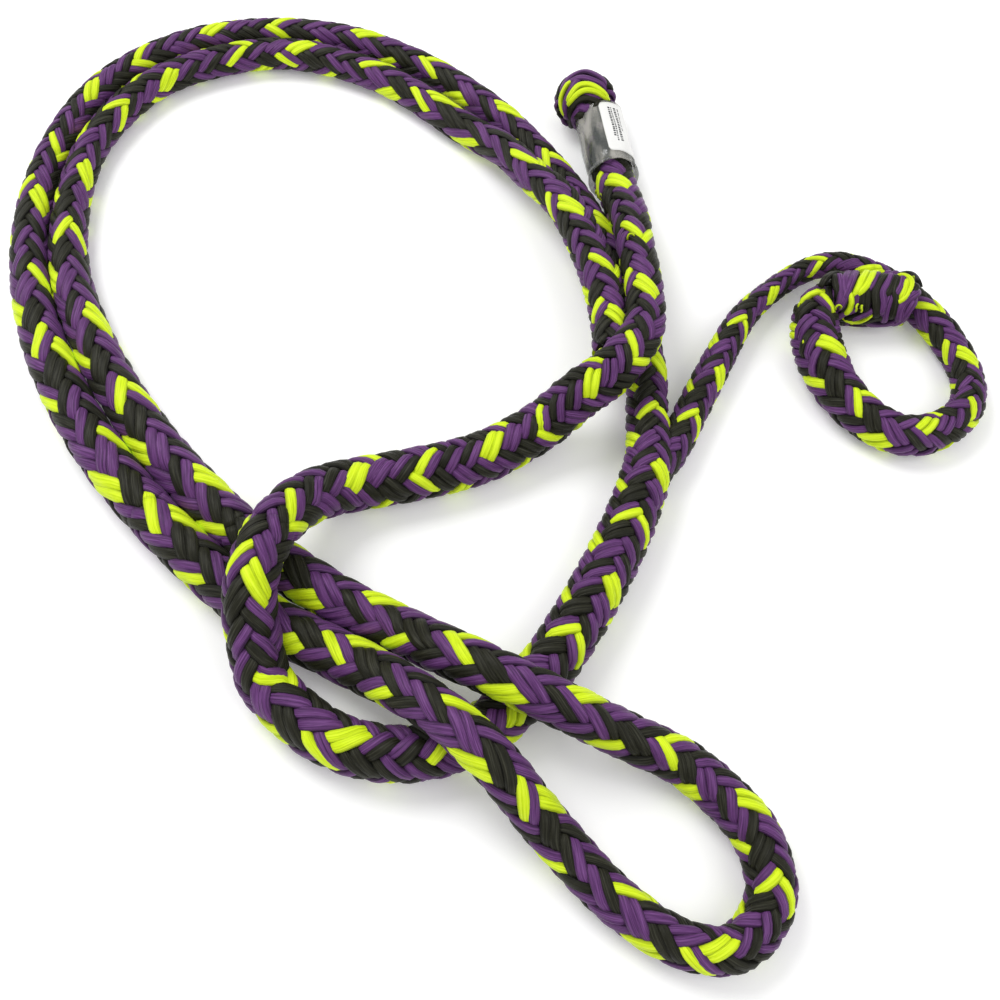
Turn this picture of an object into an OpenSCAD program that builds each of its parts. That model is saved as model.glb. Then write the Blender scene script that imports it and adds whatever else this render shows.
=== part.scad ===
// Hand-plaited rope tow loop: stopper knot under a clear sleeve, two long strands, a closed loop,
// and a thin lead with an eye. Laid out on a flat surface, z = 0 is that surface. Millimetres.

/* [Rope] */
// Sides of each rope tube
rope_sides = 10; // [8:1:12]

/* [Clear sleeve] */
// Outside diameter of the clear sleeve
sleeve_d = 27; // [26:0.5:28]
// Length of the clear sleeve
sleeve_len = 47; // [40:1:50]
// Wall of the clear sleeve
sleeve_wall = 1; // [0.8:0.1:1.5]

/* [Label] */
// Length of the label along the rope
label_len = 36; // [25:1:38]
// Angle that the label wraps round the sleeve
label_wrap = 100; // [60:5:140]
// Thickness of the label
label_t = 0.4; // [0.3:0.1:0.6]

/* [Stopper knot] */
// Radius of the knot's middle
knot_r = 13; // [12:0.5:13.5]
// Thickness of the yarns that turn round the knot
knot_turn_d = 8; // [6:0.5:8]

/* [Eye knot] */
// Diameter of the rope inside the eye knot
eye_core_d = 18; // [16:0.5:19]
// Thickness of the eye knot's turns
eye_turn_d = 4; // [3.5:0.1:4.2]
// Number of turns round the eye knot
eye_turns = 9; // [7:1:10]

/* [Hidden] */

// The long rope's route: x, y, z and diameter, from the stopper knot to where its end goes back in.
route = [
  [68, 183, 14, 23.5], [74, 137, 14, 23.5], [77, 118, 17, 23], [80, 96, 24, 21.5],
  [81, 73, 29, 20.5], [83, 40, 32, 20.5], [80, 15, 34, 22], [65, -7, 34, 24.5],
  [49, -17, 28, 25], [31, -27, 16, 25], [4, -42, 13, 25.5], [-26, -51, 13, 26],
  [-54, -58, 15, 26], [-74, -70, 24, 25.5], [-87, -92, 34, 24.5], [-93, -118, 35, 24],
  [-91, -140, 23, 24.5], [-84, -157, 13, 24.5], [-57, -178, 13, 24.5], [-27, -184, 13, 24.5],
  [0, -177, 13, 24.5], [20, -160, 13, 25], [40, -135, 13, 26], [65, -90, 13, 26],
  [81, -48, 13, 24.5], [83, -17, 11, 22], [84, 12, 11, 21.5], [78, 52, 11, 21],
  [68, 87, 10, 20], [50, 130, 10, 19], [23, 173, 10, 18.5], [-3, 203, 10, 18.5],
  [-38, 232, 10, 18], [-83, 254, 10, 18], [-135, 259, 10, 18], [-184, 244, 10, 18.5],
  [-220, 210, 10, 18.5], [-238, 160, 10, 18.5], [-239, 100, 10, 19.5], [-222, 38, 11, 21],
  [-190, -21, 11, 22], [-149, -71, 11, 22], [-96, -119, 11, 22], [-68, -135, 11, 22],
  [-46, -148, 17, 22], [-28, -161, 28, 21], [-10, -175, 35, 21], [10, -193, 33, 21],
  [32, -215, 14, 21], [56, -240, 11, 20], [80, -256, 11, 19], [101, -258, 11, 19.5],
  [115, -244, 11, 21], [117, -228, 11, 21.5], [110, -210, 11, 21.5], [88, -188, 11, 21],
  [60, -177, 20, 21], [36, -169, 32, 21], [14, -159, 35, 21], [-8, -146, 28, 22],
  [-31, -130, 14, 22], [-65, -111, 11, 22], [-106, -81, 11, 22], [-153, -32, 11, 22],
  [-191, 24, 11, 21], [-216, 84, 10, 19.5], [-220, 150, 10, 18.5], [-204, 196, 10, 18.5],
  [-174, 226, 10, 18.5], [-118, 241, 10, 18.5], [-59, 221, 10, 18.5], [-9, 179, 10, 18.5],
  [14, 155, 16, 19], [30, 130, 21, 19], [46, 104, 26, 20], [60, 63, 28, 21],
  [66, 30, 27, 21], [66, 8, 28, 20]
];

// First and last route point of each stretch of the long rope.
sleeve_span = [0, 1];
upper_span = [1, 6];
crossing_span = [6, 14];
loop_span = [14, 19];
under_span = [19, 22];
return_span = [22, 27];
outer_right_span = [27, 33];
outer_left_span = [33, 41];
outer_diagonal_span = [41, 48];
bight_span = [48, 56];
inner_diagonal_span = [56, 62];
inner_left_span = [62, 69];
inner_right_span = [69, 77];

// The thin lead and the eye's ring: x, y, z and diameter, from the rope's throat to the eye knot.
lead_route = [
  [84, -50, 11, 17.5], [94, -36, 10, 17.5], [105, -14, 9, 17.5], [120, 15, 9, 17],
  [135, 42, 9, 15], [150, 59, 8, 13], [168, 73, 8, 13], [186, 78, 10, 14],
  [205, 69, 12, 16], [222, 54, 11, 17], [236, 34, 9, 17.5], [243, 8, 9, 17],
  [238, -13, 10, 18], [221, -26, 10, 20], [203, -28, 11, 21], [188, -18, 11, 22],
  [177, -2, 12, 24], [171, 18, 13, 26], [171, 37, 13, 25], [175, 48, 13, 22],
  [184, 54, 13, 19]
];
lead_span = [0, 8];
ring_span = [8, 20];

// Where the sleeve, the stopper knot and the eye knot lie.
sleeve_end = [68, 182, 14];
sleeve_heading = -82;
knot_at = [60, 195, 17];
eye_knot_start = [182, 53, 13];
eye_knot_len = 38;
stitch_d = 1.6;
label_start = 92;

function unit(v) = v / norm(v);
function place(p) = [p[0], p[1], p[2]];
function heading(pts, i) =
  unit(place(pts[min(i + 1, len(pts) - 1)]) - place(pts[max(i - 1, 0)]));
// One ring of the tube round a route point, square to the rope.
function ring(pts, i) =
  let (t = heading(pts, i), side = unit(cross(t, [0, 0, 1])), up = cross(side, t))
  [for (k = [0 : rope_sides - 1])
    let (a = 360 * k / rope_sides - 90)
    place(pts[i]) + pts[i][3] / 2 * (cos(a) * side + sin(a) * up)];

module rope_tube(pts, span) {
  n = rope_sides;
  rings = span[1] - span[0];
  points = [for (i = [span[0] : span[1]]) each ring(pts, i)];
  walls = [for (i = [0 : rings - 1], k = [0 : n - 1])
    let (a = i * n + k, b = i * n + (k + 1) % n)
    each [[a, a + n, b + n], [a, b + n, b]]];
  ends = [[for (k = [0 : n - 1]) k], [for (k = [n - 1 : -1 : 0]) rings * n + k]];
  polyhedron(points, concat(walls, ends));
}

// A ring of yarn of thickness d whose middle line has radius r, round the x axis.
module turn(r, d) {
  rotate([0, 90, 0]) rotate_extrude($fn = 40) translate([r, 0]) circle(d = d, $fn = 14);
}

module at_sleeve() {
  translate(sleeve_end) rotate([0, 0, sleeve_heading]) children();
}

// The stopper knot's own frame: x points towards the sleeve.
module at_knot() {
  translate(knot_at) rotate([0, 0, sleeve_heading]) children();
}

module at_eye_knot() {
  translate(eye_knot_start) rotate([0, 0, -2]) children();
}

module knot_middle() {
  color("#3a2f45") at_knot() sphere(r = knot_r, $fn = 32);
}

module knot_turn(at, r) {
  at_knot() difference() {
    translate([at, 0, 0]) turn(r, knot_turn_d);
    sphere(r = knot_r, $fn = 32);
  }
}

module knot_end_turn() {
  color("#5f327d") knot_turn(-10, 8);
}

module knot_lime_turn() {
  color("#c8e628") knot_turn(-2, knot_r);
}

module knot_black_turn() {
  color("#32342a") knot_turn(6, knot_r - 1);
}

// Cut yarn ends that stand out at the knot's right-hand side.
module knot_tails() {
  color("#5f327d") at_knot() for (side = [-1, 1], k = [0 : 2])
    rotate([0, 0, side * (62 + 18 * k)]) rotate([0, 90, 0])
      translate([0, 0, knot_r + 3.4]) cylinder(d = 2.6, h = 2.6, $fn = 16);
}

module clear_sleeve() {
  color("#c8ccc8", 0.5) at_sleeve() rotate([0, 90, 0]) difference() {
    cylinder(d = sleeve_d, h = sleeve_len, $fn = 48);
    translate([0, 0, -1]) cylinder(d = sleeve_d - 2 * sleeve_wall, h = sleeve_len + 2, $fn = 48);
  }
}

module label() {
  color("#f2f2ee") at_sleeve() translate([3, 0, 0]) rotate([0, 90, 0])
    rotate([0, 0, label_start]) rotate_extrude(angle = label_wrap, $fn = 48)
      translate([sleeve_d / 2, 0]) square([label_t, label_len]);
}

// Short loops of thin lime thread that lock the rope just below the sleeve.
module sleeve_stitches() {
  color("#c8e628") translate([68, 112, 24]) for (k = [0 : 2])
    translate([k, -4 * k, k]) rotate([0, 0, -80]) turn(3, stitch_d);
}

module run_stitch() {
  color("#c8e628") translate([73, 78, 35]) rotate([0, 0, -70]) turn(3, stitch_d);
}

module eye_stitches() {
  color("#c8e628") at_eye_knot() for (k = [0 : 1])
    translate([8 + 13 * k, -9, 9]) rotate([0, 0, 90]) turn(3, stitch_d);
}

module eye_knot_middle() {
  color("#3a2f45") at_eye_knot() rotate([0, 90, 0]) cylinder(d = eye_core_d, h = eye_knot_len, $fn = 40);
}

// The turns take the colours in order, one turn in every three.
module eye_knot_turns(first) {
  pitch = eye_knot_len / eye_turns;
  at_eye_knot() for (k = [first : 3 : eye_turns - 1])
    translate([pitch * (k + 0.5), 0, 0]) turn((eye_core_d + eye_turn_d) / 2, eye_turn_d);
}

knot_middle();
knot_end_turn();
knot_lime_turn();
knot_black_turn();
knot_tails();
clear_sleeve();
label();
color("#2e2a30") rope_tube(route, sleeve_span);  // sleeve_rope
sleeve_stitches();
color("#5f327d") rope_tube(route, upper_span);  // upper_run
color("#4b3a58") rope_tube(route, crossing_span);  // crossing_run
color("#5f327d") rope_tube(route, loop_span);  // closed_loop
color("#32342a") rope_tube(route, under_span);  // under_run
color("#5f327d") rope_tube(route, return_span);  // return_run
color("#4b3a58") rope_tube(route, outer_right_span);  // outer_arc_right
color("#5f327d") rope_tube(route, outer_left_span);  // outer_arc_left
color("#32342a") rope_tube(route, outer_diagonal_span);  // outer_diagonal
color("#5f327d") rope_tube(route, bight_span);  // bight
color("#4b3a58") rope_tube(route, inner_diagonal_span);  // inner_diagonal
color("#32342a") rope_tube(route, inner_left_span);  // inner_arc_left
color("#5f327d") rope_tube(route, inner_right_span);  // inner_arc_right
run_stitch();
color("#5f327d") rope_tube(lead_route, lead_span);  // lead
color("#4b3a58") rope_tube(lead_route, ring_span);  // eye_ring
eye_knot_middle();
color("#5f327d") eye_knot_turns(0);  // eye_purple_turns
color("#32342a") eye_knot_turns(1);  // eye_black_turns
color("#c8e628") eye_knot_turns(2);  // eye_lime_turns
eye_stitches();
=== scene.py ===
"""Looks of the plaited rope tow loop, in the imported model's frame: metres, z = 0 is the floor."""

import math

import bpy
import mathutils
import numpy as np
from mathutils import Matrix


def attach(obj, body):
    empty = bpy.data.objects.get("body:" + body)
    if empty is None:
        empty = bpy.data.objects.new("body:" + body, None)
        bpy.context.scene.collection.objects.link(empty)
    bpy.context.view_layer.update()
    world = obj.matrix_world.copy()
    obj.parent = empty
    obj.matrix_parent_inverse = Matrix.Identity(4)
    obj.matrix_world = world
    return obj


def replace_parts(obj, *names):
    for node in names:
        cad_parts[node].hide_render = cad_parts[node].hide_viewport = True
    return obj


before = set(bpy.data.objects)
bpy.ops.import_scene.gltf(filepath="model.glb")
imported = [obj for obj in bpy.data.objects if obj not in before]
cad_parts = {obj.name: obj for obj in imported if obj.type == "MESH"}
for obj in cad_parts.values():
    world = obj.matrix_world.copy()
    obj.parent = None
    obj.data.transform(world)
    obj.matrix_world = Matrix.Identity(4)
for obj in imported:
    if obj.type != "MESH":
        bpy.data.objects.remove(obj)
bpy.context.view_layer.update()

# ---------------------------------------------------------------- routes, as in part.scad
# x, y, z and diameter of the long rope, from the stopper knot to where its end goes back in.
# Picked by eye on the photo, turned into metres by a script through the camera model, and then
# rounded, thinned and nudged by hand.
ROUTE = [
    (0.068, 0.183, 0.014, 0.0235), (0.074, 0.137, 0.014, 0.0235), (0.077, 0.118, 0.017, 0.023),
    (0.08, 0.096, 0.024, 0.0215), (0.081, 0.073, 0.029, 0.0205), (0.083, 0.04, 0.032, 0.0205),
    (0.08, 0.015, 0.034, 0.022), (0.065, -0.007, 0.034, 0.0245), (0.049, -0.017, 0.028, 0.025),
    (0.031, -0.027, 0.016, 0.025), (0.004, -0.042, 0.013, 0.0255), (-0.026, -0.051, 0.013, 0.026),
    (-0.054, -0.058, 0.015, 0.026), (-0.074, -0.07, 0.024, 0.0255), (-0.087, -0.092, 0.034, 0.0245),
    (-0.093, -0.118, 0.035, 0.024), (-0.091, -0.14, 0.023, 0.0245), (-0.084, -0.157, 0.013, 0.0245),
    (-0.057, -0.178, 0.013, 0.0245), (-0.027, -0.184, 0.013, 0.0245), (0.0, -0.177, 0.013, 0.0245),
    (0.02, -0.16, 0.013, 0.025), (0.04, -0.135, 0.013, 0.026), (0.065, -0.09, 0.013, 0.026),
    (0.081, -0.048, 0.013, 0.0245), (0.083, -0.017, 0.011, 0.022), (0.084, 0.012, 0.011, 0.0215),
    (0.078, 0.052, 0.011, 0.021), (0.068, 0.087, 0.01, 0.02), (0.05, 0.13, 0.01, 0.019),
    (0.023, 0.173, 0.01, 0.0185), (-0.003, 0.203, 0.01, 0.0185), (-0.038, 0.232, 0.01, 0.018),
    (-0.083, 0.254, 0.01, 0.018), (-0.135, 0.259, 0.01, 0.018), (-0.184, 0.244, 0.01, 0.0185),
    (-0.22, 0.21, 0.01, 0.0185), (-0.238, 0.16, 0.01, 0.0185), (-0.239, 0.1, 0.01, 0.0195),
    (-0.222, 0.038, 0.011, 0.021), (-0.19, -0.021, 0.011, 0.022), (-0.149, -0.071, 0.011, 0.022),
    (-0.096, -0.119, 0.011, 0.022), (-0.068, -0.135, 0.011, 0.022), (-0.046, -0.148, 0.017, 0.022),
    (-0.028, -0.161, 0.028, 0.021), (-0.01, -0.175, 0.035, 0.021), (0.01, -0.193, 0.033, 0.021),
    (0.032, -0.215, 0.014, 0.021), (0.056, -0.24, 0.011, 0.02), (0.08, -0.256, 0.011, 0.019),
    (0.101, -0.258, 0.011, 0.0195), (0.115, -0.244, 0.011, 0.021), (0.117, -0.228, 0.011, 0.0215),
    (0.11, -0.21, 0.011, 0.0215), (0.088, -0.188, 0.011, 0.021), (0.06, -0.177, 0.02, 0.021),
    (0.036, -0.169, 0.032, 0.021), (0.014, -0.159, 0.035, 0.021), (-0.008, -0.146, 0.028, 0.022),
    (-0.031, -0.13, 0.014, 0.022), (-0.065, -0.111, 0.011, 0.022), (-0.106, -0.081, 0.011, 0.022),
    (-0.153, -0.032, 0.011, 0.022), (-0.191, 0.024, 0.011, 0.021), (-0.216, 0.084, 0.01, 0.0195),
    (-0.22, 0.15, 0.01, 0.0185), (-0.204, 0.196, 0.01, 0.0185), (-0.174, 0.226, 0.01, 0.0185),
    (-0.118, 0.241, 0.01, 0.0185), (-0.059, 0.221, 0.01, 0.0185), (-0.009, 0.179, 0.01, 0.0185),
    (0.014, 0.155, 0.016, 0.019), (0.03, 0.13, 0.021, 0.019), (0.046, 0.104, 0.026, 0.02),
    (0.06, 0.063, 0.028, 0.021), (0.066, 0.03, 0.027, 0.021), (0.066, 0.008, 0.028, 0.02),
]
# The thin lead and the eye's ring, from the rope's throat to the eye knot, made in the same way.
LEAD_ROUTE = [
    (0.084, -0.05, 0.011, 0.0175), (0.094, -0.036, 0.01, 0.0175), (0.105, -0.014, 0.009, 0.0175),
    (0.12, 0.015, 0.009, 0.017), (0.135, 0.042, 0.009, 0.015), (0.15, 0.059, 0.008, 0.013),
    (0.168, 0.073, 0.008, 0.013), (0.186, 0.078, 0.01, 0.014), (0.205, 0.069, 0.012, 0.016),
    (0.222, 0.054, 0.011, 0.017), (0.236, 0.034, 0.009, 0.0175), (0.243, 0.008, 0.009, 0.017),
    (0.238, -0.013, 0.01, 0.018), (0.221, -0.026, 0.01, 0.02), (0.203, -0.028, 0.011, 0.021),
    (0.188, -0.018, 0.011, 0.022), (0.177, -0.002, 0.012, 0.024), (0.171, 0.018, 0.013, 0.026),
    (0.171, 0.037, 0.013, 0.025), (0.175, 0.048, 0.013, 0.022), (0.184, 0.054, 0.013, 0.019),
]
# Pieces of each route: first and last route point, and the nodes each one stands for.
LONG_PIECES = {
    "plait_in_sleeve": (0, 1, ["sleeve_rope"]),
    "plait_upper_run": (1, 14, ["upper_run", "crossing_run"]),
    "plait_loop": (14, 27, ["closed_loop", "under_run", "return_run"]),
    "plait_outer_arc": (27, 41, ["outer_arc_right", "outer_arc_left"]),
    "plait_diagonals": (41, 62, ["outer_diagonal", "bight", "inner_diagonal"]),
    "plait_inner_arc": (62, 77, ["inner_arc_left", "inner_arc_right"]),
}
LEAD_PIECES = {"plait_lead": (0, 8, ["lead"]), "plait_eye_ring": (8, 20, ["eye_ring"])}

# ---------------------------------------------------------------- the plait
# Twelve strands in two families of six, each strand a pair of yarns, in the order they pass.
RIGHT_GOING = ["PP", "KK", "LP", "KK", "KP", "PK"]
LEFT_GOING = ["LL", "PK", "PK", "PL", "KP", "PP"]
YARN_NAMES = {"P": "purple_yarn", "K": "black_yarn", "L": "lime_yarn"}
# Millimetres along the rope where its marks lie uppermost, in turn: the thin lime pair, which is
# a third of a turn, then the thick lime strand, 165 degrees on. Read by eye off strips of the
# photo that a script unwrapped along the route.
LONG_MARKS = [
    26, 64, 110, 149, 189, 210, 239, 269, 301, 336, 378, 414, 458, 505, 542, 574, 611, 640, 674,
    702, 735, 763, 810, 858, 910, 956, 1014, 1062, 1116, 1155, 1202, 1241, 1288, 1328, 1389, 1441,
    1505, 1563, 1622, 1673, 1730, 1775, 1828, 1866, 1897, 1930, 1967, 2010, 2060, 2112, 2166,
    2217, 2283, 2336, 2402, 2446, 2499, 2537, 2584, 2622, 2670, 2718, 2798, 2842, 2884, 2916,
]
LEAD_MARKS = [33, 64, 98, 128, 160, 191, 225, 261, 292, 316, 350, 384, 414]
# Millimetres along, and how far the plait's columns are rolled there, in degrees.
LONG_ROLL = [
    (0, -52), (120, -50), (150, -60), (210, -85), (240, -72), (300, -65), (340, -70), (380, -90),
    (415, -92), (460, -80), (505, -66), (560, -40), (610, -14), (740, -12), (860, -28),
    (1020, -36), (1120, -56), (1210, -64), (1330, -98), (1440, -125), (1670, -125), (1760, -110),
    (1830, -108), (1868, -55), (1900, -22), (1970, -25), (2010, -12), (2060, -3), (2220, -12),
    (2400, -10), (2450, -8), (2510, 4), (2540, 0), (2585, -25), (2620, -55), (2670, -70),
    (2720, -97), (2750, -98), (2800, -60), (2842, -50), (2885, -75), (2930, -75),
]
LEAD_ROLL = [
    (0, -5), (100, -10), (160, -20), (200, -40), (240, -60), (262, -65), (292, -100), (316, -55),
    (350, -15), (384, -45), (430, -45),
]
# Where two strands lie pressed together their yarns spread a little: millimetres along, factor.
LONG_SPREAD = [(1290, 1.0), (1370, 1.045), (1440, 1.1), (1600, 1.1), (1720, 1.0), (2080, 1.0),
               (2170, 1.1), (2330, 1.1), (2400, 1.06), (2480, 1.0)]
MARK_GAPS = [165.0, 195.0]  # degrees turned from one mark to the next, in turn
FIRST_MARK = 120  # degrees turned at the first mark
PLAIN_PITCH = 0.07  # of a route without marks
RUN_ON = 0.2  # how far the marks' law is run on past the first and last
EASE = 0.012  # half of the length over which marks and rolls are blended
HALF_PAIR = math.radians(15)  # half of the angle between the two yarns of a strand
LONGER_LIME = 0.18  # lime floats run on a little further
YARN_THICKNESS = 0.15  # of the rope's diameter
RING_STEP = 0.0022  # between the rings of a yarn's tube
YARN_SIDES = 10

rng = np.random.default_rng(7)
PHASES = rng.uniform(0, 2 * np.pi, (3, 24, 3))


class Route:
    """A smooth curve through the route's points, with its length, diameter and directions."""

    def __init__(self, points, marks=(), rolls=(), spread=((0, 1.0), (1, 1.0)), per_span=40):
        p = np.array(points, float)
        p = np.vstack([2 * p[0] - p[1], p, 2 * p[-1] - p[-2]])
        t = np.linspace(0, 1, per_span, endpoint=False)[:, None]
        rows = []
        for a, b, c, d in zip(p[:-3], p[1:-2], p[2:-1], p[3:]):
            rows.append(0.5 * (2 * b + (c - a) * t + (2 * a - 5 * b + 4 * c - d) * t ** 2
                               + (3 * b - a - 3 * c + d) * t ** 3))
        rows = np.vstack(rows + [p[-2:-1]])
        self.place, self.diameter = rows[:, :3], rows[:, 3]
        steps = np.linalg.norm(np.diff(self.place, axis=0), axis=1)
        self.along = np.concatenate([[0], np.cumsum(steps)])
        self.knots = self.along[::per_span]
        self.diameter = self.diameter * np.interp(self.along * 1000, *np.array(spread, float).T)
        if len(marks):
            gaps = np.tile(MARK_GAPS, len(marks))[: len(marks) - 1]
            angles = np.radians(FIRST_MARK + np.concatenate([[0], np.cumsum(gaps)]))
            self.turned = self.eased(np.array(marks) / 1000, angles)
            self.roll = self.eased(*(np.array(rolls).T * [[0.001], [math.pi / 180]]))
        else:
            self.turned = self.along * 2 * np.pi / PLAIN_PITCH
            self.roll = 0 * self.along

    def eased(self, where, values):
        """The values between marks, run on past the first and last and blended over a short way."""
        first = (values[1] - values[0]) / (where[1] - where[0])
        last = (values[-1] - values[-2]) / (where[-1] - where[-2])
        x = np.concatenate([[where[0] - RUN_ON], where, [where[-1] + RUN_ON]])
        y = np.concatenate([[values[0] - RUN_ON * first], values, [values[-1] + RUN_ON * last]])
        shifts = np.linspace(-EASE, EASE, 9)
        return np.mean([np.interp(self.along + shift, x, y) for shift in shifts], 0)

    def at(self, s):
        """Place, tangent, up, right, diameter, strand angle, pitch and roll at each length s."""
        def pick(table):
            return np.interp(s, self.along, table)

        place = np.stack([pick(self.place[:, k]) for k in range(3)], 1)
        slope = np.gradient(self.place, self.along, axis=0)
        tangent = np.stack([pick(slope[:, k]) for k in range(3)], 1)
        tangent /= np.linalg.norm(tangent, axis=1)[:, None]
        right = np.cross(tangent, [0, 0, 1.0])
        right /= np.linalg.norm(right, axis=1)[:, None]
        up = np.cross(right, tangent)
        pitch = 2 * np.pi / pick(np.gradient(self.turned, self.along))
        return (place, tangent, up, right, pick(self.diameter), pick(self.turned), pitch,
                pick(self.roll))

    def points(self, first, last, gap=0.008):
        """Points on the middle line from one route point to another, and the length between."""
        start, end = self.knots[first], self.knots[last]
        s = np.linspace(start, end, int((end - start) / gap) + 2)
        return self.at(s)[0].tolist(), float(end - start)


def wobble(s, kind, tag, size):
    """A slow unevenness that runs on from one piece of rope to the next."""
    a, b, c = PHASES[kind, tag]
    return size * (np.sin(s * 134 + a) + np.sin(s * 217 + b) + 0.6 * np.sin(s * 370 + c)) / 1.6


def flat_section(sides, power=2.3):
    """A flat, round-edged outline of a yarn: across and out, each from -1 to 1."""
    a = np.arange(sides) * 2 * np.pi / sides
    c, s = np.cos(a), np.sin(a)
    return np.sign(c) * np.abs(c) ** (2 / power), np.sign(s) * np.abs(s) ** (2 / power)


class YarnMesh:
    """Collects yarn tubes of several colours into one mesh piece."""

    def __init__(self, sides=YARN_SIDES):
        self.sides = sides
        self.verts, self.quads, self.caps = [], [], []
        self.uvs, self.colours, self.count = [], [], 0

    def add(self, line, out, width, thick, colour, tag, start=0.0, spare=(0, 0)):
        """A flat yarn along line; out is its outward direction, and tag tells its streaks apart.

        start is how far along the rope it begins, and spare the rings at its ends that only
        give it its direction there.
        """
        keep = slice(spare[0], len(line) - spare[1])
        along = np.gradient(line, axis=0)[keep]
        line, out, width, thick = line[keep], out[keep], width[keep], thick[keep]
        n, m = len(line), self.sides
        along /= np.linalg.norm(along, axis=1)[:, None]
        across = np.cross(along, out)
        across /= np.linalg.norm(across, axis=1)[:, None]
        outward = np.cross(across, along)
        ax, oz = flat_section(m)
        rings = (line[:, None, :]
                 + across[:, None, :] * ax[None, :, None] * (width / 2)[:, None, None]
                 + outward[:, None, :] * oz[None, :, None] * (thick / 2)[:, None, None])
        i, k = np.meshgrid(np.arange(n - 1), np.arange(m), indexing="ij")
        a, b = i * m + k, i * m + (k + 1) % m
        quads = np.stack([a, b, b + m, a + m], -1).reshape(-1, 4) + self.count
        step = np.concatenate([[0], np.cumsum(np.linalg.norm(np.diff(line, axis=0), axis=1))])
        u0, u1 = start + step[i], start + step[i + 1]
        v0, v1 = tag + k / m, tag + (k + 1) / m
        uv = np.stack([np.stack([u0, v0], -1), np.stack([u0, v1], -1),
                       np.stack([u1, v1], -1), np.stack([u1, v0], -1)], 2).reshape(-1, 2)
        self.verts.append(rings.reshape(-1, 3))
        self.quads.append(quads)
        self.uvs.append(uv)
        self.colours.append(np.full(len(quads), "PKL".index(colour)))
        first, last = self.count + np.arange(m), self.count + (n - 1) * m + np.arange(m)
        self.caps.append((first[::-1], "PKL".index(colour)))
        self.caps.append((last, "PKL".index(colour)))
        self.count += n * m

    def build(self, name):
        """The mesh piece, with the three yarn materials and the yarns' own UV layer."""
        verts, quads = np.vstack(self.verts), np.vstack(self.quads)
        m, ends = self.sides, len(self.caps)
        mesh = bpy.data.meshes.new(name)
        mesh.vertices.add(len(verts))
        mesh.vertices.foreach_set("co", verts.astype(np.float32).ravel())
        loops = np.concatenate([quads.ravel()] + [c for c, _ in self.caps])
        mesh.loops.add(len(loops))
        mesh.loops.foreach_set("vertex_index", loops.astype(np.int32))
        starts = np.concatenate([np.arange(len(quads)) * 4, 4 * len(quads) + np.arange(ends) * m])
        mesh.polygons.add(len(starts))
        mesh.polygons.foreach_set("loop_start", starts.astype(np.int32))
        colours = np.concatenate(self.colours + [[c for _, c in self.caps]]).astype(np.int32)
        mesh.update(calc_edges=True)
        mesh.polygons.foreach_set("material_index", colours)
        smooth = np.concatenate([np.ones(len(quads), bool), np.zeros(ends, bool)])
        mesh.polygons.foreach_set("use_smooth", smooth)
        layer = mesh.uv_layers.new(name="Yarn")
        uv = np.vstack(self.uvs + [np.zeros((ends * m, 2))])
        layer.data.foreach_set("uv", uv.astype(np.float32).ravel())
        for key in "PKL":
            mesh.materials.append(MATERIALS[YARN_NAMES[key]])
        mesh.validate()
        piece = bpy.data.objects.new(name, mesh)
        bpy.context.scene.collection.objects.link(piece)
        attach(piece, "root")
        return piece


def weave_wave(angle, sign, longer):
    """1 where a strand lies over, -1 where it lies under; it changes over three times a turn."""
    return np.tanh(1.9 * (sign * np.cos(3 * angle) + longer)) / math.tanh(1.9)


def plait(route, s0, s1, name, dull=False):
    """The 24 yarns of one stretch of rope, as one mesh. Dull leaves its lime out."""
    count = max(8, int((s1 - s0) / RING_STEP) + 1)
    s = np.linspace(s0, s1, count)
    gap = s[1] - s[0]
    spare = (int(s0 > gap), int(s1 < route.along[-1] - gap))
    s = np.concatenate([[s0 - gap] * spare[0], s, [s1 + gap] * spare[1]])
    place, _, up, right, diameter, turned, pitch, column = route.at(s)
    base = column - HALF_PAIR
    around = np.pi * diameter
    spacing = around / 12 * np.cos(np.arctan(around / pitch))
    thick0 = YARN_THICKNESS * diameter
    mesh = YarnMesh()
    for family, (strands, sign) in enumerate(((RIGHT_GOING, 1), (LEFT_GOING, -1))):
        for k, pair in enumerate(strands):
            for j, colour in enumerate(pair):
                tag = 12 * family + 2 * k + j
                side = HALF_PAIR if j == 0 else -HALF_PAIR
                angle = sign * (turned - k * math.radians(60) + side) + base
                longer = LONGER_LIME if colour == "L" else 0.0
                wave = weave_wave(angle - column - sign * side / 2, sign, longer)
                angle = angle + wobble(s, 0, tag, 0.035)
                thick = thick0 * (1 + wobble(s, 1, tag, 0.06))
                width = spacing * (1.04 + 0.1 * wave) * (1 + wobble(s, 2, tag, 0.05))
                depth = thick0 * (0.55 + 0.62 * (1 - wave))
                out = np.cos(angle)[:, None] * up + np.sin(angle)[:, None] * right
                line = place + out * (diameter / 2 - depth)[:, None]
                line[:, 2] = np.maximum(line[:, 2], thick0 * 0.6)  # the floor flattens it
                colour = "K" if dull and (colour == "L" or j == 1) else colour
                mesh.add(line, out, width, thick, colour, 2 * tag, s0, spare)
    return mesh.build(name)


# ---------------------------------------------------------------- materials
def new_material(name):
    """An empty material with one Principled shader, its nodes, its links and the shader."""
    material = bpy.data.materials.new(name)
    material.use_nodes = True
    nodes = material.node_tree.nodes
    nodes.clear()
    output = nodes.new("ShaderNodeOutputMaterial")
    shader = nodes.new("ShaderNodeBsdfPrincipled")
    material.node_tree.links.new(shader.outputs["BSDF"], output.inputs["Surface"])
    return material, nodes, material.node_tree.links, shader


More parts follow.
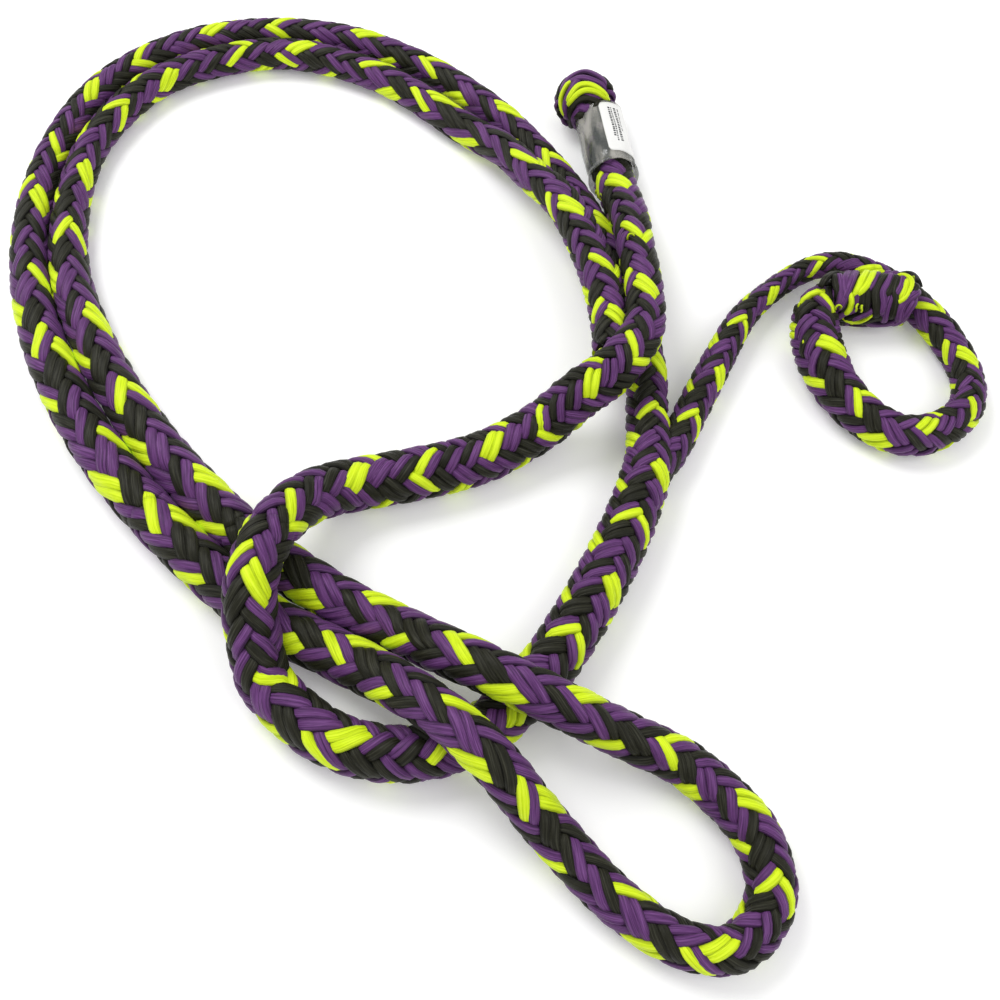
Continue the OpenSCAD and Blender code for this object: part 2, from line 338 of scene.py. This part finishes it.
def yarn_material(name, colour, deep, pale, roughness, sheen, painted_crease_shade):
    """Split-film yarn: fine lengthwise fibres that catch the light, slow patches of shade, and painted
    shade darkening each yarn's sides.
    """
    material, nodes, links, shader = new_material(name)
    uv = nodes.new("ShaderNodeUVMap")
    uv.uv_map = "Yarn"
    stretch = nodes.new("ShaderNodeMapping")
    stretch.inputs["Scale"].default_value = (60, 26, 1)
    links.new(uv.outputs["UV"], stretch.inputs["Vector"])
    fibres = nodes.new("ShaderNodeTexNoise")
    fibres.inputs["Scale"].default_value = 1.0
    fibres.inputs["Detail"].default_value = 5.0
    fibres.inputs["Roughness"].default_value = 0.65
    links.new(stretch.outputs["Vector"], fibres.inputs["Vector"])
    shade = nodes.new("ShaderNodeValToRGB")
    ramp = shade.color_ramp
    ramp.elements[0].position, ramp.elements[0].color = 0.30, (*deep, 1)
    ramp.elements[1].position, ramp.elements[1].color = 0.72, (*pale, 1)
    middle = ramp.elements.new(0.5)
    middle.color = (*colour, 1)
    links.new(fibres.outputs["Fac"], shade.inputs["Fac"])
    # Painted shade: the yarn's sides, where they lie down in the creases, are painted darker than its
    # crown, standing in for the shade that falls between yarns.
    parts = nodes.new("ShaderNodeSeparateXYZ")
    links.new(uv.outputs["UV"], parts.inputs["Vector"])
    around = parts.outputs["Y"]
    for operation, amount in (("FRACT", 0), ("SUBTRACT", 0.25), ("ABSOLUTE", 0)):
        step = nodes.new("ShaderNodeMath")
        step.operation = operation
        step.inputs[1].default_value = amount
        links.new(around, step.inputs[0])
        around = step.outputs["Value"]
    crease = nodes.new("ShaderNodeMapRange")
    crease.inputs["From Min"].default_value = 0.09
    crease.inputs["From Max"].default_value = 0.25
    crease.inputs["To Min"].default_value = 1.0
    crease.inputs["To Max"].default_value = painted_crease_shade
    links.new(around, crease.inputs["Value"])
    toned = nodes.new("ShaderNodeVectorMath")
    toned.operation = "SCALE"
    links.new(shade.outputs["Color"], toned.inputs[0])
    links.new(crease.outputs["Result"], toned.inputs["Scale"])
    links.new(toned.outputs["Vector"], shader.inputs["Base Color"])
    broad = nodes.new("ShaderNodeMapping")
    broad.inputs["Scale"].default_value = (36, 9, 1)
    links.new(uv.outputs["UV"], broad.inputs["Vector"])
    folds = nodes.new("ShaderNodeTexNoise")
    folds.inputs["Scale"].default_value = 1.0
    folds.inputs["Detail"].default_value = 1.5
    links.new(broad.outputs["Vector"], folds.inputs["Vector"])
    height = nodes.new("ShaderNodeMath")
    height.operation = "MULTIPLY_ADD"
    height.inputs[1].default_value = 0.55
    links.new(fibres.outputs["Fac"], height.inputs[0])
    links.new(folds.outputs["Fac"], height.inputs[2])
    bump = nodes.new("ShaderNodeBump")
    bump.inputs["Strength"].default_value = 0.95
    bump.inputs["Distance"].default_value = 0.0007
    links.new(height.outputs["Value"], bump.inputs["Height"])
    links.new(bump.outputs["Normal"], shader.inputs["Normal"])
    shader.inputs["Roughness"].default_value = roughness
    shader.inputs["Sheen Weight"].default_value = sheen
    shader.inputs["Sheen Roughness"].default_value = 0.4
    shader.inputs["Specular IOR Level"].default_value = 0.18
    return material


# The last number of each is how dark the painted shade makes a yarn's sides.
MATERIALS = {
    "purple_yarn": yarn_material("purple_yarn", (0.110, 0.034, 0.145), (0.026, 0.006, 0.038),
                                 (0.225, 0.090, 0.28), 0.44, 0.05, 0.2),
    "black_yarn": yarn_material("black_yarn", (0.013, 0.013, 0.006), (0.003, 0.003, 0.001),
                                (0.055, 0.055, 0.038), 0.46, 0.02, 0.2),
    "lime_yarn": yarn_material("lime_yarn", (0.66, 0.86, 0.010), (0.40, 0.55, 0.0),
                               (0.80, 0.97, 0.05), 0.45, 0.05, 0.5),
}


def film_material():
    """Milky clear shrink film, with slow lengthwise streaks."""
    material, nodes, links, shader = new_material("clear_film")
    where = nodes.new("ShaderNodeTexCoord")
    stretch = nodes.new("ShaderNodeMapping")
    stretch.inputs["Scale"].default_value = (120, 34, 120)
    links.new(where.outputs["Object"], stretch.inputs["Vector"])
    streaks = nodes.new("ShaderNodeTexNoise")
    streaks.inputs["Scale"].default_value = 1.0
    streaks.inputs["Detail"].default_value = 3.0
    streaks.inputs["Distortion"].default_value = 0.6
    links.new(stretch.outputs["Vector"], streaks.inputs["Vector"])
    shade = nodes.new("ShaderNodeValToRGB")
    shade.color_ramp.elements[0].position = 0.42
    shade.color_ramp.elements[0].color = (0.10, 0.11, 0.105, 1)
    shade.color_ramp.elements[1].position = 0.66
    shade.color_ramp.elements[1].color = (0.60, 0.58, 0.53, 1)
    links.new(streaks.outputs["Fac"], shade.inputs["Fac"])
    links.new(shade.outputs["Color"], shader.inputs["Base Color"])
    bump = nodes.new("ShaderNodeBump")
    bump.inputs["Strength"].default_value = 0.35
    bump.inputs["Distance"].default_value = 0.0006
    links.new(streaks.outputs["Fac"], bump.inputs["Height"])
    links.new(bump.outputs["Normal"], shader.inputs["Normal"])
    shader.inputs["Roughness"].default_value = 0.12
    shader.inputs["Specular IOR Level"].default_value = 0.7
    shader.inputs["Alpha"].default_value = 0.46
    return material


def paper_material(name, colour, roughness):
    """Printed film of a label: nearly even, with a faint grain."""
    material, nodes, links, shader = new_material(name)
    grain = nodes.new("ShaderNodeTexNoise")
    grain.inputs["Scale"].default_value = 900.0
    grain.inputs["Detail"].default_value = 2.0
    shade = nodes.new("ShaderNodeValToRGB")
    shade.color_ramp.elements[0].color = (*[0.9 * c for c in colour], 1)
    shade.color_ramp.elements[1].color = (*colour, 1)
    where = nodes.new("ShaderNodeTexCoord")
    links.new(where.outputs["Object"], grain.inputs["Vector"])
    links.new(grain.outputs["Fac"], shade.inputs["Fac"])
    links.new(shade.outputs["Color"], shader.inputs["Base Color"])
    shader.inputs["Roughness"].default_value = roughness
    return material


# ---------------------------------------------------------------- camera
CAMERA_TILT = math.radians(29)
camera_data = bpy.data.cameras.new("camera")
camera_data.lens = 40
camera_data.sensor_width = 36
camera = bpy.data.objects.new("camera", camera_data)
bpy.context.scene.collection.objects.link(camera)
camera.location = (0.012, -0.3135, 0.4609)
camera.rotation_euler = (CAMERA_TILT, 0, 0)
bpy.context.scene.camera = camera

# ---------------------------------------------------------------- ropes
long_rope = Route(ROUTE, LONG_MARKS, LONG_ROLL, LONG_SPREAD)
thin_rope = Route(LEAD_ROUTE, LEAD_MARKS, LEAD_ROLL)
for route, pieces in ((long_rope, LONG_PIECES), (thin_rope, LEAD_PIECES)):
    for name, (first, last, nodes) in pieces.items():
        hidden = name == "plait_in_sleeve"
        piece = plait(route, route.knots[first], route.knots[last], name, dull=hidden)
        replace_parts(piece, *nodes)
        if not hidden:
            route.points(first, last)

# ---------------------------------------------------------------- knots
# The knots are laid out as seen by the camera: right, up and towards it, in millimetres.
# Right stays level on a roll, and slip then keeps a yarn where the camera sees it as it rises.
def seen_at(centre, ball):
    """Right, up and towards the camera at a knot, and how far a yarn slips right as it rises."""
    towards = np.array(camera.location) - centre
    towards /= np.linalg.norm(towards)
    if ball:
        right = np.cross([0, math.cos(CAMERA_TILT), math.sin(CAMERA_TILT)], towards)
        right /= np.linalg.norm(right)
        return np.array([right, np.cross(towards, right), towards]), 0.0
    right = np.array([1.0, 0, 0])
    out = towards - towards[0] * right
    slip = towards[0] / np.linalg.norm(out)
    out /= np.linalg.norm(out)
    return np.array([right, np.cross(out, right), out]), slip


def through(points, step=0.0015):
    """Places and widths along a smooth curve through a few points x, y, z, width."""
    route = Route(points)
    s = np.linspace(0, route.along[-1], max(8, int(route.along[-1] / step)))
    place, diameter = route.at(s)[0], route.at(s)[4]
    place[:, 2] = np.maximum(place[:, 2], 0.0012)
    return place, diameter


def yarn_over(mesh, centre, path, colour, width, radius, ball, thick=3.1, tag=0, mirrored=False):
    """A yarn that follows path, right and up in mm, over a ball or a roll lying to the right.

    Its ends dive in behind the neighbours. Mirrored puts it on the side away from the camera.
    """
    seen, slip = seen_at(centre, ball)
    spots = []
    for a, b in path:
        reach = math.hypot(a, b) if ball else abs(b)
        if reach > radius:
            b = b * radius / reach
            a = a * radius / reach if ball else a
            reach = radius
        rise = math.sqrt(radius ** 2 - reach ** 2)
        spots.append(np.array([a + slip * rise, b, rise]))
    middle = [np.zeros(3) if ball else np.array([p[0], 0, 0]) for p in spots]
    ends = []
    for near, far, hub in ((spots[0], spots[1], middle[0]), (spots[-1], spots[-2], middle[-1])):
        on = (near - far) / np.linalg.norm(near - far)
        ends.append(near + on * 3.0 - (near - hub) * 0.3)
    spots = [ends[0], *spots, ends[1]]
    turn = np.array([-1, 1, -1]) if mirrored else np.ones(3)
    points = [(*(centre + (p * turn / 1000) @ seen), width / 1000) for p in spots]
    line, widths = through(points)
    hubs = centre if ball else centre + ((line - centre) @ seen[0])[:, None] * seen[0]
    out = line - hubs
    out /= np.linalg.norm(out, axis=1)[:, None]
    n = len(line)
    taper = 0.75 + 0.25 * np.sin(np.linspace(0, np.pi, n)) ** 0.5
    mesh.add(line, out, widths * taper, np.full(n, thick / 1000), colour, 100 + 2 * tag)


def knot_piece(name, nodes, rows, centre, ball, both_sides=True):
    """One mesh of yarns over a knot; each row is colour, width, radius and its path."""
    mesh = YarnMesh(12)
    for tag, (colour, width, radius, path) in enumerate(rows):
        yarn_over(mesh, centre, path, colour, width, radius, ball, tag=tag)
        if both_sides:
            yarn_over(mesh, centre, path, colour, width, radius, ball, tag=tag + 40, mirrored=True)
    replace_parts(mesh.build(name), *nodes)


def short_plait(name, points, nodes):
    """A plaited middle for a knot, through points x, y, z and diameter."""
    route = Route(points)
    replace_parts(plait(route, 0, route.along[-1], name, dull=True), *nodes)


STOPPER = np.array([0.0604, 0.1919, 0.0175])
short_plait("stopper_middle", [(0.059, 0.203, 0.017, 0.018), (0.0605, 0.197, 0.017, 0.027),
                               (0.0625, 0.188, 0.017, 0.028), (0.066, 0.179, 0.0155, 0.024)],
            ["knot_middle"])
knot_piece("stopper_purple_turns", ["knot_end_turn"], [
    ("P", 4.6, 16.0, [(-12.5, 6), (-9, 12), (-1, 15.5), (6, 13.5), (11, 9)]),
    ("P", 4.4, 15.4, [(-9.5, 9), (-3, 12.2), (3.5, 11), (10, 7.6)]),
    ("P", 4.4, 15.8, [(-5, 10), (-9, 3.5), (-10.8, -2), (-10.5, -8)]),
    ("P", 4.2, 15.0, [(1, 2.6), (8, 1.4), (13, -1), (15.5, -4)]),
    ("P", 4.2, 14.6, [(-5.5, -15), (-6.4, -9), (-3.6, -4.5), (2.5, -2.5)]),
    ("P", 3.6, 14.2, [(-13, -7.5), (-11, -12), (-8, -14)]),
], STOPPER, True)
knot_piece("stopper_lime_turns", ["knot_lime_turn"], [
    ("L", 3.4, 16.6, [(-9, 1.4), (-4.5, 7.6), (0.5, 8.9), (6, 7.2), (11.6, 2.6)]),
    ("L", 3.4, 16.4, [(-8.6, -0.6), (-3.4, 4.4), (1, 5.8), (6.4, 4.6), (12.4, 0.6)]),
    ("L", 2.8, 16.2, [(-9, 9.6), (-12.4, 4.6), (-13.4, -0.6), (-11.4, -6.6)]),
], STOPPER, True)
knot_piece("stopper_black_turns", ["knot_black_turn"], [
    ("K", 4.0, 15.4, [(-8, -13), (-8.4, -5.5), (-4.4, 0.2), (1.4, 1.6), (7, -0.6), (12.6, -2.6)]),
    ("K", 3.6, 14.8, [(-10, -11), (-10.4, -4), (-7.6, 2)]),
    ("K", 3.4, 15.6, [(-9.5, 12), (-13.6, 8), (-15, 2)]),
    ("K", 3.4, 14.6, [(-2, -14), (-3, -8), (0.5, -5.5), (6, -4.5)]),
], STOPPER, True)
knot_piece("stopper_side_tucks", ["knot_tails"], [
    ("K", 4.0, 16.2, [(12, 8.6), (14.6, 6)]), ("P", 3.6, 16.4, [(14.6, 4), (16, 1)]),
    ("P", 3.4, 16.2, [(15.6, -1.6), (15.4, -4.4)]), ("P", 3.6, 16.4, [(-15.4, -0.6), (-15.6, -3.6)]),
    ("K", 3.6, 16.2, [(-14.6, -4.4), (-13.4, -7.6)]), ("P", 3.6, 16.0, [(-12.4, -9), (-10.2, -11.8)]),
], STOPPER, True)

EYE_KNOT = np.array([0.2013, 0.0515, 0.0138])
short_plait("eye_knot_core", [(0.182, 0.053, 0.013, 0.02), (0.194, 0.052, 0.0135, 0.0225),
                              (0.209, 0.0515, 0.0135, 0.0225), (0.221, 0.051, 0.013, 0.019)],
            ["eye_knot_middle"])
knot_piece("eye_purple_wraps", ["eye_purple_turns"], [
    ("P", 3.6, 13.0, [(-16.4, 11.8), (-15.2, 8.2), (-14.8, 4), (-15.6, -2)]),
    ("P", 4.4, 13.2, [(-11.8, 15), (-13.2, 10.6), (-13, 6), (-12.6, 2), (-14.4, -3)]),
    ("P", 4.4, 13.3, [(-8.2, 14), (-9.6, 9.8), (-11.4, 5), (-12.8, 1)]),
    ("P", 3.2, 12.6, [(-7.6, 5), (-6.8, 1.4), (-7.6, -4)]),
    ("P", 3.4, 13.2, [(3.2, 12.6), (1.4, 9), (-0.4, 6)]),
    ("P", 4.2, 13.2, [(9.8, 12), (7.8, 7.6), (5.8, 3.4), (6.8, -1.4), (6, -6)]),
    ("P", 4.4, 12.8, [(10, 1.4), (8.4, -3.4), (7.6, -10)]),
    ("P", 3.8, 13.4, [(15.8, 10.6), (14.8, 6.4), (12.8, 3)]),
    ("P", 5.2, 13.2, [(22.4, 3.2), (18.4, 0.4), (15.4, -4.4), (14.8, -10)]),
    ("P", 4.6, 13.0, [(21.6, -1.4), (19.4, -5), (16.8, -9.6), (12, -12)]),
    ("P", 3.8, 12.4, [(-16.6, -9), (-12.6, -6.6), (-7.6, -4.8)]),
    ("P", 3.4, 12.6, [(-8.2, -9.4), (-3, -7.6), (0.6, -5.6)]),
    ("P", 4.0, 12.8, [(0, -12), (6.2, -12.4), (12.4, -11)]),
], EYE_KNOT, False)
knot_piece("eye_black_wraps", ["eye_black_turns"], [
    ("K", 3.8, 12.8, [(-23.4, 10), (-20, 12.6), (-16.6, 13), (-13.4, 11.6)]),
    ("K", 3.6, 12.6, [(-18.6, 11.6), (-17.8, 7.6), (-16.6, 4)]),
    ("K", 3.2, 12.2, [(-13, 1.4), (-12.6, -1.6), (-13.6, -5.6)]),
    ("K", 3.6, 12.9, [(-4.2, 5.4), (-4.4, 1), (-4.6, -4.6)]),
    ("K", 3.4, 12.9, [(-2, 4.8), (-1.4, 1), (-1.8, -4.4)]),
    ("K", 4.6, 13.2, [(6.8, 11.6), (3.8, 7.6), (2.2, 3), (2.8, -1.6), (3.4, -7.4)]),
    ("K", 4.0, 13.1, [(12.4, 11), (10, 6), (8.2, 2.6)]),
    ("K", 4.2, 13.2, [(13.8, 10), (12, 4.2), (12.6, -1), (11.4, -8)]),
    ("K", 5.0, 13.2, [(22, 6.6), (20.6, 4.6), (18, 1.6)]),
    ("K", 3.4, 12.2, [(-12.4, -9.8), (-5.4, -8), (0.4, -6)]),
    ("K", 3.8, 12.3, [(-4, -11.4), (2.6, -9.4), (7, -8.6)]),
], EYE_KNOT, False)
knot_piece("eye_lime_wraps", ["eye_lime_turns"], [
    ("L", 3.9, 13.7, [(-2.6, 13.4), (-4.6, 10.2), (-6, 6.8), (-7.2, 4)]),
    ("L", 3.9, 13.7, [(0.8, 13), (-0.8, 9.6), (-2.8, 6.2), (-5.4, 3.6)]),
    ("L", 3.2, 13.2, [(-10.4, 2.4), (-9.4, -1), (-10, -4.4), (-11.6, -6.4)]),
    ("L", 3.2, 13.6, [(14.6, 11.8), (19.2, 10.2), (20, 6.4), (17.6, 1.8), (14.8, -0.6)]),
    ("L", 3.4, 13.7, [(17.6, 8.8), (16.8, 5), (15.4, 1.4)]),
    ("L", 1.8, 12.9, [(-11.2, -10.2), (-5, -10.8), (0.4, -8)]),
], EYE_KNOT, False)

# The back of the eye knot, which the photo doesn't show: plain turns in the same order.
back = YarnMesh(12)
for k, colour in enumerate("PPKPLLKKPKPPKL"):
    shift = -17.5 + 2.75 * k
    path = [(shift + 1.5, 12), (shift, 6), (shift - 0.6, -1), (shift - 1.6, -8), (shift - 2, -12)]
    flipped = [(-a, b) for a, b in path]
    yarn_over(back, EYE_KNOT, flipped, colour, 3.7, 12.9, False, tag=90 + k, mirrored=True)
back.build("eye_knot_back")

# ---------------------------------------------------------------- loose threads
def thread_loop(mesh, centre, heading, size, tag):
    """A small slack loop of thin thread, its two legs sunk in the rope."""
    c, s = math.cos(math.radians(heading)), math.sin(math.radians(heading))
    shape = [(-0.9, 0, -1.1), (-1.0, 0.1, 0.1), (-0.55, 0.35, 0.9), (0.1, 0.2, 1.15),
             (0.75, -0.2, 0.8), (1.0, -0.1, 0.0), (0.8, 0.1, -1.1)]
    points = [(centre[0] + size * (a * c - b * s), centre[1] + size * (a * s + b * c),
               centre[2] + size * d, 0.0011) for a, b, d in shape]
    line, widths = through(points, 0.0006)
    out = line - np.array(centre)
    out /= np.linalg.norm(out, axis=1)[:, None]
    mesh.add(line, out, widths, widths * 0.9, "L", 400 + 2 * tag)


def threads(name, node, loops):
    """Loops of thin lime thread, each given by its place in mm, heading and size."""
    mesh = YarnMesh(8)
    for tag, (x, y, z, heading, size) in enumerate(loops):
        thread_loop(mesh, (x / 1000, y / 1000, z / 1000), heading, size / 1000, tag)
    piece = mesh.build(name)
    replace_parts(piece, node)
    return piece


threads("sleeve_threads", "sleeve_stitches", [
    (65.4, 127, 13, 20, 1.3), (65.4, 123.5, 14.5, 75, 1.3), (66.6, 119.5, 17.5, 120, 1.2)])
run_thread = threads("run_thread", "run_stitch", [(77.5, 71.5, 38.2, 15, 1.6)])
threads("eye_threads", "eye_stitches", [
    (181, 39.4, 22.4, 10, 1.3), (189.6, 38.6, 23.6, 80, 1.4), (192, 38.2, 23.2, 95, 1.3),
    (163, 44.2, 17.6, 90, 1.3), (161.4, 19.5, 19.6, 100, 1.2)])

# ---------------------------------------------------------------- clear sleeve and label
SLEEVE_LOW, SLEEVE_TOP = np.array([0.0742, 0.1352, 0.0141]), np.array([0.0676, 0.1832, 0.0141])
SLEEVE_RADIUS, SLEEVE_LENGTH = 0.0134, 0.048
SLEEVE_ROWS, SLEEVE_COLUMNS = 48, 96
FILM_THICKNESS = 0.0006


def sleeve_point(t, angle, radius):
    """A place round the sleeve: t from 0 at its lower rim to 1, angle from its top, clockwise."""
    axis = (SLEEVE_TOP - SLEEVE_LOW) / np.linalg.norm(SLEEVE_TOP - SLEEVE_LOW)
    side = np.cross(axis, [0, 0, 1.0])
    side /= np.linalg.norm(side)
    lean = 0.0016 * math.cos(angle) * (1 - 2 * t)
    return (SLEEVE_LOW + axis * (SLEEVE_LENGTH * t + lean)
            + radius * (math.cos(angle) * np.cross(side, axis) + math.sin(angle) * side))


def sleeve_swell(t, angle):
    """How the shrunk film stands out or dips: a flared lip at each rim and slack creases."""
    lip = 0.0007 * math.exp(-((t - 0.015) / 0.03) ** 2) + 0.0005 * math.exp(-((t - 0.985) / 0.03) ** 2)
    waist = -0.0005 * math.exp(-((t - 0.1) / 0.05) ** 2)
    crease = 0.00022 * math.sin(5 * angle + 9 * t + 1) + 0.00016 * math.sin(9 * angle - 14 * t)
    return lip + waist + crease * (0.4 + 0.6 * math.sin(math.pi * t))


def shell(name, rows, columns, outer, inner, closed):
    """A thin closed skin between an outer and an inner surface, both functions of two indices."""
    verts = [outer(i, k) for i in range(rows) for k in range(columns)]
    verts += [inner(i, k) for i in range(rows) for k in range(columns)]
    back = rows * columns
    wide = columns if closed else columns - 1
    faces = []
    for i in range(rows - 1):
        for k in range(wide):
            a, b = i * columns + k, i * columns + (k + 1) % columns
            faces.append((a, b, b + columns, a + columns))
            faces.append((back + a, back + a + columns, back + b + columns, back + b))
    for k in range(wide):
        a, b = k, (k + 1) % columns
        faces.append((a, back + a, back + b, b))
        a, b = a + (rows - 1) * columns, b + (rows - 1) * columns
        faces.append((a, b, back + b, back + a))
    if not closed:
        for i in range(rows - 1):
            a, b = i * columns, (i + 1) * columns
            faces.append((a, b, back + b, back + a))
            a, b = a + columns - 1, b + columns - 1
            faces.append((a, back + a, back + b, b))
    mesh = bpy.data.meshes.new(name)
    mesh.from_pydata([tuple(v) for v in verts], [], faces)
    mesh.validate()
    for face in mesh.polygons:
        face.use_smooth = True
    piece = bpy.data.objects.new(name, mesh)
    bpy.context.scene.collection.objects.link(piece)
    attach(piece, "root")
    return piece


def film(depth):
    """The sleeve's surface, or one that lies depth below it, as a function of two indices."""
    def point(i, k):
        t, angle = i / (SLEEVE_ROWS - 1), 2 * math.pi * k / SLEEVE_COLUMNS
        return sleeve_point(t, angle, SLEEVE_RADIUS + sleeve_swell(t, angle) - depth)
    return point


sleeve = shell("sleeve_film", SLEEVE_ROWS, SLEEVE_COLUMNS, film(0), film(FILM_THICKNESS), True)
sleeve.data.materials.append(film_material())
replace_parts(sleeve, "clear_sleeve")

# A generic label: three rows of short dark bars and a line, no lettering.
LABEL_T = (0.14, 0.96)
LABEL_TURN = (math.radians(-8), math.radians(98))
label_paper = paper_material("label_paper", (0.86, 0.86, 0.84), 0.35)
label_ink = paper_material("label_ink", (0.03, 0.03, 0.035), 0.4)


def label_patch(name, t0, t1, turn0, turn1, lift, thick, rows, columns, corner=0.0):
    """A patch of label on the sleeve, from t0 to t1 along it and between two angles."""
    def face(depth):
        def point(i, k):
            u, v = i / (rows - 1), k / (columns - 1)
            t, angle = t0 + (t1 - t0) * u, turn0 + (turn1 - turn0) * v
            # rounded corners: the ends draw in near the sides
            near = max(0.0, abs(2 * v - 1) - 1 + 2 * corner) / (2 * corner) if corner else 0.0
            pull = (1 - math.sqrt(max(0.0, 1 - near ** 2))) * corner * (t1 - t0) * 0.75
            t += pull * (1 - 2 * u)
            return sleeve_point(t, angle, SLEEVE_RADIUS + sleeve_swell(t, angle) + lift - depth)
        return point
    return shell(name, rows, columns, face(0), face(thick), False)


label = label_patch("label_sheet", *LABEL_T, *LABEL_TURN, 0.00035, 0.0004, 30, 30, 0.09)
label.data.materials.append(label_paper)
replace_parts(label, "label")
# Of each row: degrees round the sleeve, length along the label and height in degrees.
BAR_ROWS = ((12, 0.62, 5), (19, 0.70, 3), (27, 0.74, 6), (38, 0.5, 2))
BARS_START = LABEL_T[1] - 0.08
bars = []
for row, (turn, length, high) in enumerate(BAR_ROWS):
    t = BARS_START
    while t > BARS_START - length * 0.78:
        size = rng.uniform(0.012, 0.03) if row < 3 else 0.05
        start, end = math.radians(turn), math.radians(turn + high)
        bar = label_patch("bar", t - size, t, start, end, 0.00042, 0.0003, 3, 3)
        bar.data.materials.append(label_ink)
        bars.append(bar)
        t -= size + rng.uniform(0.01, 0.018)
with bpy.context.temp_override(active_object=bars[0], selected_editable_objects=bars):
    bpy.ops.object.join()
bars[0].name = "label_bars"

# ---------------------------------------------------------------- floor and light
floor_mesh = bpy.data.meshes.new("floor")
floor_mesh.from_pydata([(-8, -8, 0), (8, -8, 0), (8, 8, 0), (-8, 8, 0)], [], [(0, 1, 2, 3)])
floor = bpy.data.objects.new("floor", floor_mesh)
bpy.context.scene.collection.objects.link(floor)
floor_material, _, _, shader = new_material("pale_floor")
shader.inputs["Base Color"].default_value = (0.95, 0.95, 0.95, 1)
shader.inputs["Roughness"].default_value = 0.9
shader.inputs["Emission Color"].default_value = (1, 1, 1, 1)
shader.inputs["Emission Strength"].default_value = 0.14
floor_mesh.materials.append(floor_material)


def area_light(name, place, aim, size, power):
    """A round soft light at place that points at aim."""
    light = bpy.data.lights.new(name, "AREA")
    light.shape, light.size, light.energy = "DISK", size, power
    lamp = bpy.data.objects.new(name, light)
    bpy.context.scene.collection.objects.link(lamp)
    lamp.location = place
    direction = np.array(aim) - np.array(place)
    lamp.rotation_euler = mathutils.Vector(direction).to_track_quat("-Z", "Y").to_euler()


area_light("key", (-0.7, 0.6, 1.3), (0, 0, 0), 0.9, 13)
area_light("fill", (0.9, -0.5, 1.1), (0, 0, 0), 1.0, 5)
world = bpy.data.worlds.new("studio")
bpy.context.scene.world = world
world.use_nodes = True
world.node_tree.nodes["Background"].inputs["Color"].default_value = (1, 1, 1, 1)
world.node_tree.nodes["Background"].inputs["Strength"].default_value = 0.7
bpy.context.scene.view_settings.view_transform = "Standard"
